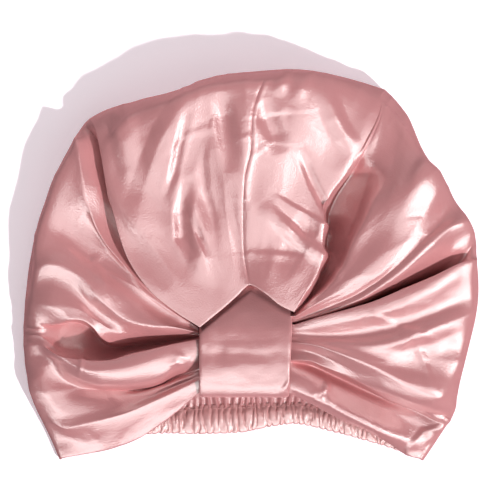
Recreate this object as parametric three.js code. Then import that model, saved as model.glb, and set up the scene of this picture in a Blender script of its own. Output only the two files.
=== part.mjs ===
// Satin hair turban lying on its back with the gathered front up. Millimetres, +Z up.
// Two satin panels meet on a centre seam. Their folds run from a knot band in the middle of
// the front out to a rounded rim, turn under it and lie flat on the floor as the back panel,
// which ends in a ruched elastic casing. The head goes in between front hem and casing.
import * as THREE from 'three';

// Driving sizes
const WALL = 1.2; // satin panel with its turned seam allowances
const GAP = 0.3; // clearance between pieces that are sewn together
const KNOT_CENTRE = { x: -3.3, y: -52.2 };
const RIM_ROUNDING = 0.45; // depth of the rim's upper curve as a share of its height
const RIM_FOOT = 0.2; // how far the rim's foot stands back as a share of its height

// Knot band: a flattened loop of doubled satin round the gathered front hem
const BAND = {
  left: -33.3,
  rightAtTop: 28.2,
  rightAtBottom: 25.4,
  wall: 1.6,
  topFace: 40, // height of the visible face
  backFace: 20.4, // underside of the hidden back layer
  lowerEnd: -86, // rolled lower edge
  upperEnd: -4, // hidden under the crown's pointed edge
  bend: 6, // depth of the rolled ends
  edgeDrop: 1.1, // how far the side edges curl down
  edgePower: 4, // how late the curl begins
};

// The line that folds run into: up the band's left side, along the crown's pointed edge to the
// seam and down again, then down the band's right side. A fold's grip counts along it from 0 to 4.
const GRIP_CORNERS = [
  { at: 'left side, low end', x: -33.6, y: -80.5 },
  { at: 'left shoulder', x: -35.6, y: -40.5 },
  { at: 'point of the crown', x: -0.5, y: -12 },
  { at: 'right shoulder', x: 30.4, y: -31 },
  { at: 'right side, low end', x: 25.4, y: -80.5 },
];

// Folds of the front, in order from the left hem over the crown to the right hem.
// bearing and reach place the fold's end on the outline as seen from the knot (degrees, mm).
// bow is how far the fold swings to its left at one third and two thirds of its length.
// rise is its height at the knot, at one third, at two thirds and at the rim.
const FOLDS = [
  { name: 'left hem', grip: 0.0, bearing: 211.5, reach: 144, bow: [9, 8], rise: [27, 20, 13, 8] },
  { name: 'hem roll', grip: 0.11, bearing: 205, reach: 142.5, bow: [8, 9], rise: [31, 26, 20, 12] },
  { name: 'hem valley', grip: 0.2, bearing: 199, reach: 143.5, bow: [7, 9], rise: [28, 23, 21, 16] },
  { name: 'low wing', grip: 0.29, bearing: 193, reach: 144.5, bow: [7, 9], rise: [31, 27, 25, 20] },
  { name: 'under roll', grip: 0.35, bearing: 188.5, reach: 145, bow: [11, 9], rise: [28, 19, 19, 22] },
  { name: 'roll face', grip: 0.47, bearing: 184, reach: 145.5, bow: [11, 11], rise: [32, 35, 35, 23] },
  { name: 'wing roll', grip: 0.66, bearing: 180, reach: 146, bow: [6, 11], rise: [34, 39, 39, 24] },
  { name: 'roll valley', grip: 0.73, bearing: 177, reach: 146, bow: [6, 9], rise: [29, 17, 17, 24] },
  { name: 'bulge', grip: 0.79, bearing: 171, reach: 147, bow: [6, -2], rise: [30, 25, 38, 29] },
  { name: 'ridge stripe', grip: 0.83, bearing: 164.5, reach: 149, bow: [8, 2], rise: [30, 33, 38, 35] },
  { name: 'bright ridge', grip: 0.87, bearing: 160.5, reach: 151, bow: [7, 1], rise: [33, 38, 42, 39] },
  { name: 'ridge back', grip: 0.9, bearing: 155, reach: 154, bow: [2, -7], rise: [31, 34, 35, 28] },
  { name: 'wing face', grip: 0.94, bearing: 146, reach: 160, bow: [1, -8], rise: [30, 31, 32, 27] },
  { name: 'lip pocket', grip: 0.985, bearing: 128.5, reach: 177, bow: [12, 6], rise: [29, 26, 28, 27] },
  { name: 'lip', grip: 1.0, bearing: 124.5, reach: 180, bow: [19, 15], rise: [41.8, 44, 43, 37] },
  { name: 'behind lip', grip: 1.22, bearing: 120, reach: 178.5, bow: [14, 11], rise: [41.6, 45, 44, 39] },
  { name: 'crown plane', grip: 1.45, bearing: 113, reach: 174.5, bow: [13, 14], rise: [41.6, 45, 46, 42] },
  { name: 'crown step', grip: 1.68, bearing: 104.5, reach: 172, bow: [14, 17], rise: [41.7, 46, 47, 45] },
  { name: 'crown band', grip: 1.85, bearing: 96, reach: 176.5, bow: [9, 10], rise: [41.7, 46, 48, 45] },
  { name: 'seam', grip: 2.0, bearing: 86.2, reach: 180, bow: [7, 6], rise: [41.6, 46, 48, 46] },
  { name: 'right plane', grip: 2.3, bearing: 79, reach: 183.5, bow: [-5, -2], rise: [41.7, 44, 46, 45] },
  { name: 'right band', grip: 2.65, bearing: 71.5, reach: 186, bow: [-7, -4], rise: [41.7, 41, 38, 37] },
  { name: 'flap edge', grip: 3.0, bearing: 62.5, reach: 191, bow: [-3, 1], rise: [41.8, 36, 29, 31] },
  { name: 'valley floor', grip: 3.03, bearing: 59, reach: 188.5, bow: [-7, -5], rise: [32, 22, 23, 28] },
  { name: 'deep valley', grip: 3.05, bearing: 55.5, reach: 185, bow: [-9, -7], rise: [30, 20, 21, 27] },
  { name: 'roll brow', grip: 3.08, bearing: 51.5, reach: 179, bow: [-10, -5], rise: [33, 45, 46, 33] },
  { name: 'roll top', grip: 3.1, bearing: 48.5, reach: 173.5, bow: [-11, -9], rise: [34, 49, 53, 44] },
  { name: 'big roll', grip: 3.125, bearing: 45, reach: 170, bow: [-13, -15], rise: [35, 50, 55, 50] },
  { name: 'roll dip', grip: 3.15, bearing: 35, reach: 167, bow: [-10, -12], rise: [33, 43, 49, 45] },
  { name: 'roll ridge', grip: 3.175, bearing: 29.5, reach: 167.5, bow: [-6, -2], rise: [33, 44, 50, 47] },
  { name: 'wing valley', grip: 3.21, bearing: 24, reach: 165, bow: [-5, -3], rise: [28, 18, 20, 30] },
  { name: 'wing crest', grip: 3.26, bearing: 20.5, reach: 161.5, bow: [-3, -2], rise: [34, 47, 49, 44] },
  { name: 'crest face', grip: 3.3, bearing: 16, reach: 158.5, bow: [-4, -2], rise: [34, 45, 48, 44] },
  { name: 'wing plane', grip: 3.36, bearing: 10, reach: 154.5, bow: [-7, -7], rise: [33, 41, 43, 39] },
  { name: 'wing slope', grip: 3.42, bearing: -1, reach: 146, bow: [-3, -5], rise: [33, 42, 41, 37] },
  { name: 'long ridge', grip: 3.49, bearing: -12.5, reach: 142.5, bow: [2, -1], rise: [35, 44, 42, 34] },
  { name: 'low lip', grip: 3.6, bearing: -18.5, reach: 143.5, bow: [3, -1], rise: [34, 36, 31, 20] },
  { name: 'low valley', grip: 3.68, bearing: -22, reach: 142, bow: [1, 0], rise: [28, 17, 17, 16] },
  { name: 'low crest', grip: 3.75, bearing: -25, reach: 141, bow: [1, 2], rise: [32, 26, 22, 13] },
  { name: 'hem roll', grip: 3.89, bearing: -29, reach: 140, bow: [-2, -4], rise: [30, 22, 16, 10] },
  { name: 'right hem', grip: 4.0, bearing: -33, reach: 139.5, bow: [-1, -1], rise: [27, 17, 10, 7] },
];
const SEAM_FOLD = FOLDS.findIndex((fold) => fold.name === 'seam');
const FIRST_CROWN_FOLD = FOLDS.findIndex((fold) => fold.name === 'lip');
const LAST_CROWN_FOLD = FOLDS.findIndex((fold) => fold.name === 'flap edge');

// Back edge of the mouth: where the casing's stitched edge and its frilled edge lie.
const CASING_SECTIONS = [
  { x: -112, stitched: -112.5, frilled: -122.5, thick: 3.4 },
  { x: -92, stitched: -104.5, frilled: -117.5, thick: 4 },
  { x: -65, stitched: -96, frilled: -111, thick: 5 },
  { x: -33, stitched: -92.5, frilled: -111, thick: 5 },
  { x: -3, stitched: -91.5, frilled: -109.5, thick: 5 },
  { x: 16, stitched: -91, frilled: -105.5, thick: 5 },
  { x: 32, stitched: -91, frilled: -104.5, thick: 5 },
  { x: 52, stitched: -95, frilled: -109, thick: 5 },
  { x: 78, stitched: -103.5, frilled: -116, thick: 4 },
  { x: 102, stitched: -114, frilled: -123.5, thick: 3.4 },
];
const CASING = { gathers: 48, pucker: 0.7, frill: 0.9, squareness: 0.6 };
const BACK_EDGE = { leftEnd: -120, rightEnd: 108, gatherRise: 1.8, gatherPower: 3 };

// Steps of the meshes
const STEPS = { betweenFolds: 2, underBand: 2, front: 12, rim: 6, back: 5 };
const BAND_STEPS = { across: 8, straight: 12, bend: 6 };
const CASING_SECTION_POINTS = 10;
const EDGE_SAMPLES = 8; // between two rows of the casing's table

// Small helpers
const degrees = THREE.MathUtils.degToRad;
const mix = THREE.MathUtils.lerp;

function smoothCurve(points) {
  return new THREE.CatmullRomCurve3(points, false, 'centripetal');
}

// Smooth value of one named column of a table whose rows are sorted by x.
function columnCurve(rows, column) {
  const curve = smoothCurve(rows.map((row) => new THREE.Vector3(row.x, row[column], 0)));
  const fine = curve.getPoints(rows.length * EDGE_SAMPLES);
  return (x) => {
    const next = fine.findIndex((point) => point.x >= x);
    if (next <= 0) return next === 0 ? fine[0].y : fine[fine.length - 1].y;
    const before = fine[next - 1];
    const after = fine[next];
    return mix(before.y, after.y, (x - before.x) / (after.x - before.x));
  };
}
const stitchedEdge = columnCurve(CASING_SECTIONS, 'stitched');
const frilledEdge = columnCurve(CASING_SECTIONS, 'frilled');
const casingThickness = columnCurve(CASING_SECTIONS, 'thick');

// Closed sheet of even thickness from a grid of surface points. keep(column, row) says which
// cells are cloth, and every free edge gets a wall.
function clothSheet(grid, normals, thickness, keep) {
  const columns = grid.length;
  const rows = grid[0].length;
  const index = (column, row) => column * rows + row;
  const count = columns * rows;
  const positions = [];
  for (const depth of [0, thickness]) {
    grid.forEach((line, column) => {
      line.forEach((point, row) => {
        const place = point.clone().addScaledVector(normals[column][row], -depth);
        positions.push(place.x, place.y, place.z);
      });
    });
  }
  const triangles = [];
  const edges = new Map();
  const addEdge = (from, to) => {
    if (!edges.delete(`${to},${from}`)) edges.set(`${from},${to}`, [from, to]);
  };
  for (let column = 0; column + 1 < columns; column += 1) {
    for (let row = 0; row + 1 < rows; row += 1) {
      if (!keep(column, row)) continue;
      const corners = [
        index(column, row),
        index(column, row + 1),
        index(column + 1, row + 1),
        index(column + 1, row),
      ];
      const [a, b, c, d] = corners;
      triangles.push([a, c, b], [a, d, c]);
      triangles.push([count + a, count + b, count + c], [count + a, count + c, count + d]);
      corners.forEach((corner, side) => addEdge(corner, corners[(side + 1) % 4]));
    }
  }
  for (const [from, to] of edges.values()) {
    triangles.push([from, to, count + to], [from, count + to, count + from]);
  }
  const geometry = new THREE.BufferGeometry();
  geometry.setAttribute('position', new THREE.Float32BufferAttribute(positions, 3));
  geometry.setIndex(triangles.flat());
  return usedVerticesOnly(geometry);
}

// Drops the grid points that no triangle uses, and gives flat face normals.
function usedVerticesOnly(geometry) {
  const plain = geometry.toNonIndexed();
  plain.computeVertexNormals();
  return plain;
}

// Outward normals of a grid of surface points.
function gridNormals(grid) {
  return grid.map((line, column) =>
    line.map((point, row) => {
      const left = grid[Math.max(column - 1, 0)][row];
      const right = grid[Math.min(column + 1, grid.length - 1)][row];
      const inner = line[Math.max(row - 1, 0)];
      const outer = line[Math.min(row + 1, line.length - 1)];
      const across = right.clone().sub(left);
      const along = outer.clone().sub(inner);
      return along.cross(across).negate().normalize();
    }),
  );
}

// Crown panels

function gripPoint(grip, height) {
  const corner = Math.min(Math.floor(grip), GRIP_CORNERS.length - 2);
  const from = GRIP_CORNERS[corner];
  const to = GRIP_CORNERS[corner + 1];
  const share = grip - corner;
  return new THREE.Vector3(mix(from.x, to.x, share), mix(from.y, to.y, share), height);
}

// Where a fold meets the casing on the back, by its place between the two hems. The hems
// themselves run down past the casing's ends.
function backEdgePoint(bearing) {
  const first = FOLDS[0].bearing;
  const last = FOLDS[FOLDS.length - 1].bearing;
  const share = (first - bearing) / (first - last);
  const x = mix(BACK_EDGE.leftEnd, BACK_EDGE.rightEnd, share);
  const onHem = share === 0 || share === 1;
  const y = onHem ? frilledEdge(x) : stitchedEdge(x) + CASING.frill / 2 + GAP;
  return new THREE.Vector3(x, y, 0);
}

// One fold as a run of points: under the band, over the front, round the rim, along the back.
function foldLine(fold) {
  const outward = new THREE.Vector3(Math.cos(degrees(fold.bearing)), Math.sin(degrees(fold.bearing)), 0);
  const [gripRise, innerRise, outerRise, rimRise] = fold.rise;
  const rounding = RIM_ROUNDING * rimRise;
  const foot = RIM_FOOT * rimRise;
  const knot = new THREE.Vector3(KNOT_CENTRE.x, KNOT_CENTRE.y, 0);
  const onRim = (inset, height) =>
    knot.clone().addScaledVector(outward, fold.reach - inset).setZ(height);
  const grip = gripPoint(fold.grip, gripRise);
  const shoulder = onRim(rounding, rimRise);
  const straight = shoulder.clone().sub(grip).setZ(0);
  const sideways = new THREE.Vector3(-straight.y, straight.x, 0).normalize();
  const bowed = (share, bow, height) =>
    grip.clone().addScaledVector(straight, share).addScaledVector(sideways, bow).setZ(height);
  const front = smoothCurve([
    grip,
    bowed(1 / 3, fold.bow[0], innerRise),
    bowed(2 / 3, fold.bow[1], outerRise),
    shoulder,
  ]);

  const points = [];
  const core = new THREE.Vector3(KNOT_CENTRE.x, grip.y, gripRise);
  for (let step = 0; step < STEPS.underBand; step += 1) {
    points.push(core.clone().lerp(grip, step / STEPS.underBand));
  }
  for (let step = 0; step < STEPS.front; step += 1) {
    points.push(front.getPoint(step / STEPS.front));
  }
  for (let step = 0; step < STEPS.rim; step += 1) {
    const turn = degrees(90 - (180 * step) / STEPS.rim);
    const depth = turn > 0 ? rounding : foot;
    const inset = depth * (1 - Math.cos(turn));
    points.push(onRim(inset, (rimRise / 2) * (1 + Math.sin(turn))));
  }
  const underRim = onRim(foot, 0);
  const edge = backEdgePoint(fold.bearing);
  for (let step = 0; step <= STEPS.back; step += 1) {
    points.push(underRim.clone().lerp(edge, step / STEPS.back));
  }
  return points;
}

// The whole crown as a grid: smooth curves across the folds, at every step along them.
function crownGrid() {
  const lines = FOLDS.map(foldLine);
  const columns = (FOLDS.length - 1) * STEPS.betweenFolds + 1;
  const rows = lines[0].length;
  const grid = Array.from({ length: columns }, () => []);
  for (let row = 0; row < rows; row += 1) {
    const across = smoothCurve(lines.map((line) => line[row]));
    for (let column = 0; column < columns; column += 1) {
      grid[column].push(across.getPoint(column / (columns - 1)));
    }
  }
  const firstBackRow = rows - STEPS.back;
  for (let column = 1; column < columns; column += 2) {
    for (let row = firstBackRow; row < rows; row += 1) {
      const nearness = (row - firstBackRow + 1) / STEPS.back;
      grid[column][row].z = BACK_EDGE.gatherRise * nearness ** BACK_EDGE.gatherPower;
    }
  }
  return grid;
}

const CROWN_GRID = crownGrid();
const CROWN_NORMALS = gridNormals(CROWN_GRID);

// One panel: the crown from one hem to the seam. Only the wings' folds run on under the band.
function crownPanel(firstFold, lastFold, seamShift) {
  const first = firstFold * STEPS.betweenFolds;
  const last = lastFold * STEPS.betweenFolds;
  const seam = SEAM_FOLD * STEPS.betweenFolds;
  const grid = [];
  for (let column = first; column <= last; column += 1) {
    const line = CROWN_GRID[column].map((point, row) => {
      const onMiddle = column === seam || row === 0;
      return onMiddle ? point.clone().setX(point.x + seamShift) : point.clone();
    });
    grid.push(line);
  }
  const normals = CROWN_NORMALS.slice(first, last + 1);
  const wingEndsAt = (FIRST_CROWN_FOLD - 1) * STEPS.betweenFolds;
  const wingStartsAt = (LAST_CROWN_FOLD + 1) * STEPS.betweenFolds;
  const keep = (column, row) => {
    const inCrown = first + column >= wingEndsAt && first + column < wingStartsAt;
    return row >= STEPS.underBand || !inCrown;
  };
  return clothSheet(grid, normals, WALL, keep);
}

// Knot band

// Points round the loop as seen from its side, from the front's lower bend upwards and back.
function bandLoop() {
  const half = (BAND.topFace - BAND.backFace) / 2;
  const middle = (BAND.topFace + BAND.backFace) / 2;
  const points = [];
  const bendAt = (y, from) => {
    for (let step = 0; step < BAND_STEPS.bend; step += 1) {
      const turn = degrees(from + (180 * step) / BAND_STEPS.bend);
      points.push({ y: y - BAND.bend * Math.cos(turn), z: middle + half * Math.sin(turn) });
    }
  };
  const low = BAND.lowerEnd + BAND.bend;
  const high = BAND.upperEnd - BAND.bend;
  bendAt(low, -90);
  for (let step = 0; step < BAND_STEPS.straight; step += 1) {
    points.push({ y: mix(low, high, step / BAND_STEPS.straight), z: BAND.topFace });
  }
  bendAt(high, 90);
  for (let step = 0; step < BAND_STEPS.straight; step += 1) {
    points.push({ y: mix(high, low, step / BAND_STEPS.straight), z: BAND.backFace });
  }
  points.push({ ...points[0] });
  return points;
}

function knotBand() {
  const loop = bandLoop();
  const grid = [];
  for (let column = 0; column <= BAND_STEPS.across; column += 1) {
    const share = column / BAND_STEPS.across;
    const curl = BAND.edgeDrop * (2 * share - 1) ** BAND.edgePower;
    grid.push(
      loop.map(({ y, z }) => {
        const down = (y - BAND.upperEnd) / (BAND.lowerEnd - BAND.upperEnd);
        const right = mix(BAND.rightAtTop, BAND.rightAtBottom, down);
        const sunk = z > BAND.topFace - GAP ? z - curl : z;
        return new THREE.Vector3(mix(BAND.left, right, share), y, sunk);
      }),
    );
  }
  return loopSheet(grid, BAND.wall);
}

// A sheet whose rows close on themselves, as a band does.
function loopSheet(grid, thickness) {
  const closing = grid[0].length - 1;
  const normals = gridNormals(grid);
  normals.forEach((line, column) => {
    const along = grid[column][1].clone().sub(grid[column][closing - 1]);
    const across = new THREE.Vector3(1, 0, 0);
    line[0] = along.cross(across).negate().normalize();
    line[closing] = line[0].clone();
  });
  return clothSheet(grid, normals, thickness, () => true);
}

// Cross-section of the flattened casing: across from 0 to 1 and up from 0 to 1.
function casingSection() {
  const flattened = (value) => Math.sign(value) * Math.abs(value) ** CASING.squareness;
  const section = [];
  for (let point = 0; point < CASING_SECTION_POINTS; point += 1) {
    const turn = (2 * Math.PI * point) / CASING_SECTION_POINTS;
    section.push({ across: flattened(Math.cos(turn)), up: flattened(Math.sin(turn)) });
  }
  const top = Math.max(...section.map((point) => point.up));
  return section.map(({ across, up }) => ({ across: (1 + across) / 2, up: (1 + up / top) / 2 }));
}

// Elastic casing: a flat tube with a rib for each gather and a frilled lower edge.
function elasticBand() {
  const columns = CASING.gathers * 2;
  const start = CASING_SECTIONS[0].x;
  const end = CASING_SECTIONS[CASING_SECTIONS.length - 1].x;
  const section = casingSection();
  const positions = [];
  for (let column = 0; column <= columns; column += 1) {
    const x = mix(start, end, column / columns);
    const puffed = column % 2;
    const thick = casingThickness(x) + (puffed ? CASING.pucker : -CASING.pucker);
    const low = frilledEdge(x) - (puffed ? CASING.frill : 0);
    const high = stitchedEdge(x) + (puffed ? CASING.frill / 2 : 0);
    for (const { across, up } of section) {
      positions.push(x, mix(low, high, across), thick * up);
    }
  }
  const indices = [];
  const ring = CASING_SECTION_POINTS;
  for (let column = 0; column < columns; column += 1) {
    for (let point = 0; point < ring; point += 1) {
      const a = column * ring + point;
      const b = column * ring + ((point + 1) % ring);
      indices.push(a, b, b + ring, a, b + ring, a + ring);
    }
  }
  const lastRing = columns * ring;
  for (let point = 1; point + 1 < ring; point += 1) {
    indices.push(0, point + 1, point);
    indices.push(lastRing, lastRing + point, lastRing + point + 1);
  }
  const geometry = new THREE.BufferGeometry();
  geometry.setAttribute('position', new THREE.Float32BufferAttribute(positions, 3));
  geometry.setIndex(indices);
  return usedVerticesOnly(geometry);
}

// Assembly
function piece(name, geometry, colour, roughness) {
  const material = new THREE.MeshStandardMaterial({ color: colour, roughness, metalness: 0 });
  const mesh = new THREE.Mesh(geometry, material);
  mesh.name = name;
  return mesh;
}

const turban = new THREE.Group();
turban.add(piece('crown_left', crownPanel(0, SEAM_FOLD, -GAP / 2), 0xd9b3b1, 0.35));
turban.add(piece('crown_right', crownPanel(SEAM_FOLD, FOLDS.length - 1, GAP / 2), 0xd9b3b1, 0.35));
turban.add(piece('knot_band', knotBand(), 0xcf9fa0, 0.4));
turban.add(piece('elastic_band', elasticBand(), 0xe5c9cb, 0.45));

export default turban;
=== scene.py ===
import math
from collections import namedtuple

import bpy
import numpy as np
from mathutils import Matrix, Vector


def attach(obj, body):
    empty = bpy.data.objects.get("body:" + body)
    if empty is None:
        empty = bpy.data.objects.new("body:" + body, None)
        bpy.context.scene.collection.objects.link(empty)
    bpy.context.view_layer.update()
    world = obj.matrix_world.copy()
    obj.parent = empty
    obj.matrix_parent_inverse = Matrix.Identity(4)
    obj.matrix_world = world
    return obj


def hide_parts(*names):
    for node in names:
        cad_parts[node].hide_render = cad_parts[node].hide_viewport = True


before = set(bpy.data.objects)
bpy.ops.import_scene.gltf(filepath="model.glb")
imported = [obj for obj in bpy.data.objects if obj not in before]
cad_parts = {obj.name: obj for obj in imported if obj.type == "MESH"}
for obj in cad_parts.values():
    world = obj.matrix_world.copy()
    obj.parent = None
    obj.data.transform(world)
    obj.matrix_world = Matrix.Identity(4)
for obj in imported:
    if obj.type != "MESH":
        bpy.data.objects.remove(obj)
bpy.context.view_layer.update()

# The satin itself
# A light pink polyester satin: long floats of shiny thread lie side by side, so it is smooth
# with a broad gloss, a fine grain in its highlights and a red glow where folds face each other.
MM = 0.001
SATIN_DEEP = (0.55, 0.225, 0.232, 1.0)
SATIN_PALE = (0.63, 0.285, 0.292, 1.0)
SATIN_GLOSS = dict(share=0.28, colour=(1.0, 0.96, 0.94, 1.0), roughness=0.22, anisotropy=0.25)
ROUGHNESS_SWING = 0.14
THREAD_RELIEF = dict(strength=0.9, depth=0.2 * MM)
# spots to a metre: of streaks and slubs across and along the cloth, of grain in every direction
STREAKS = (900.0, 60.0, 1.0)
SLUBS = (160.0, 700.0, 1.0)
GRAIN = (1100.0, 1100.0, 1100.0)
COLOUR_DRIFT = 22.0


def add_sockets(tree, in_out, kinds):
    for name, kind in kinds.items():
        tree.interface.new_socket(name, in_out=in_out, socket_type="NodeSocket" + kind)


def mathematics(tree, operation, first, second=None, third=None):
    """A math node whose inputs are sockets or plain numbers."""
    node = tree.nodes.new("ShaderNodeMath")
    node.operation = operation
    for socket, value in zip(node.inputs, (first, second, third)):
        if isinstance(value, bpy.types.NodeSocket):
            tree.links.new(value, socket)
        elif value is not None:
            socket.default_value = value
    return node.outputs[0]


def soft_noise(tree, place, scale, detail):
    noise = tree.nodes.new("ShaderNodeTexNoise")
    noise.inputs["Scale"].default_value = scale
    noise.inputs["Detail"].default_value = detail
    tree.links.new(place, noise.inputs["Vector"])
    return noise.outputs["Fac"]


def thread_noise(tree, cloth, spots, detail):
    stretch = tree.nodes.new("ShaderNodeMapping")
    stretch.inputs["Scale"].default_value = spots
    tree.links.new(cloth, stretch.inputs["Vector"])
    return soft_noise(tree, stretch.outputs["Vector"], 1.0, detail)


def satin_thread_group():
    """Streaks, tiny slubs and grain of the satin's threads, from the cloth's own coordinates."""
    group = bpy.data.node_groups.new("satin_threads", "ShaderNodeTree")
    add_sockets(group, "INPUT", {"Cloth": "Vector", "Place": "Vector", "Base Roughness": "Float"})
    add_sockets(group, "OUTPUT", {"Streaks": "Float", "Roughness": "Float", "Height": "Float"})
    enter = group.nodes.new("NodeGroupInput").outputs
    leave = group.nodes.new("NodeGroupOutput").inputs
    streaks = thread_noise(group, enter["Cloth"], STREAKS, 3.0)
    slubs = thread_noise(group, enter["Cloth"], SLUBS, 2.0)
    grain = thread_noise(group, enter["Place"], GRAIN, 1.0)
    mean = mathematics(group, "MULTIPLY", mathematics(group, "ADD", streaks, slubs), 0.5)
    rough = mathematics(group, "MULTIPLY_ADD", mean, ROUGHNESS_SWING, enter["Base Roughness"])
    group.links.new(mean, leave["Streaks"])
    group.links.new(rough, leave["Roughness"])
    group.links.new(mathematics(group, "MULTIPLY_ADD", mean, 0.5, grain), leave["Height"])
    return group


THREADS = satin_thread_group()


def satin(name, deep, pale):
    """Satin with its colour drifting softly between two pinks and the threads' gloss."""
    material = bpy.data.materials.new(name)
    material.use_nodes = True
    tree = material.node_tree
    nodes, links = tree.nodes, tree.links
    shader = nodes["Principled BSDF"]
    shader.inputs["Specular IOR Level"].default_value = 0.0
    shader.inputs["Roughness"].default_value = 0.7
    floats = nodes.new("ShaderNodeBsdfAnisotropic")
    floats.inputs["Color"].default_value = SATIN_GLOSS["colour"]
    floats.inputs["Anisotropy"].default_value = SATIN_GLOSS["anisotropy"]
    mix = nodes.new("ShaderNodeMixShader")
    mix.inputs[0].default_value = SATIN_GLOSS["share"]
    links.new(shader.outputs["BSDF"], mix.inputs[1])
    links.new(floats.outputs["BSDF"], mix.inputs[2])
    links.new(mix.outputs["Shader"], nodes["Material Output"].inputs["Surface"])
    cloth = nodes.new("ShaderNodeUVMap")
    cloth.uv_map = "cloth"
    tangent = nodes.new("ShaderNodeTangent")
    tangent.direction_type = "UV_MAP"
    tangent.uv_map = "cloth"
    links.new(tangent.outputs["Tangent"], floats.inputs["Tangent"])
    threads = nodes.new("ShaderNodeGroup")
    threads.node_tree = THREADS
    threads.inputs["Base Roughness"].default_value = SATIN_GLOSS["roughness"] - ROUGHNESS_SWING / 2
    links.new(cloth.outputs["UV"], threads.inputs["Cloth"])
    place = nodes.new("ShaderNodeTexCoord").outputs["Object"]
    links.new(place, threads.inputs["Place"])
    drift = mathematics(tree, "MULTIPLY", soft_noise(tree, place, COLOUR_DRIFT, 2.0), 0.45)
    share = mathematics(tree, "MULTIPLY_ADD", threads.outputs["Streaks"], 0.55, drift)
    colour = nodes.new("ShaderNodeMix")
    colour.data_type = "RGBA"
    colour.inputs[6].default_value = deep
    colour.inputs[7].default_value = pale
    links.new(share, colour.inputs[0])
    links.new(colour.outputs[2], shader.inputs["Base Color"])
    links.new(threads.outputs["Roughness"], floats.inputs["Roughness"])
    relief = nodes.new("ShaderNodeBump")
    relief.inputs["Strength"].default_value = THREAD_RELIEF["strength"]
    relief.inputs["Distance"].default_value = THREAD_RELIEF["depth"]
    links.new(threads.outputs["Height"], relief.inputs["Height"])
    links.new(relief.outputs["Normal"], floats.inputs["Normal"])
    return material


# Crown panels
# Two satin panels sewn on a centre seam. The front hem is pulled together inside the knot band,
# so folds fan out from the knot, run over the front, turn under the rim and lie flat behind.
KNOT = np.array([-3.3, -52.2])
UNDERCUT = 0.4  # how far the rim's foot stands back, as a share of the rim's edge height
# where the rim's turn passes above and below its edge, as shares of the roll, the foot and the edge
RIM_TURN = dict(above=0.25, below=0.35, below_height=0.4)
HEM_TURN = dict(radius=0.8, depth=6.0, steps=8, columns=5, corner=0.12)  # corner: its share at both ends
GATHER_SINK = 10.0  # how far the gathers sink inside the knot band

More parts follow.
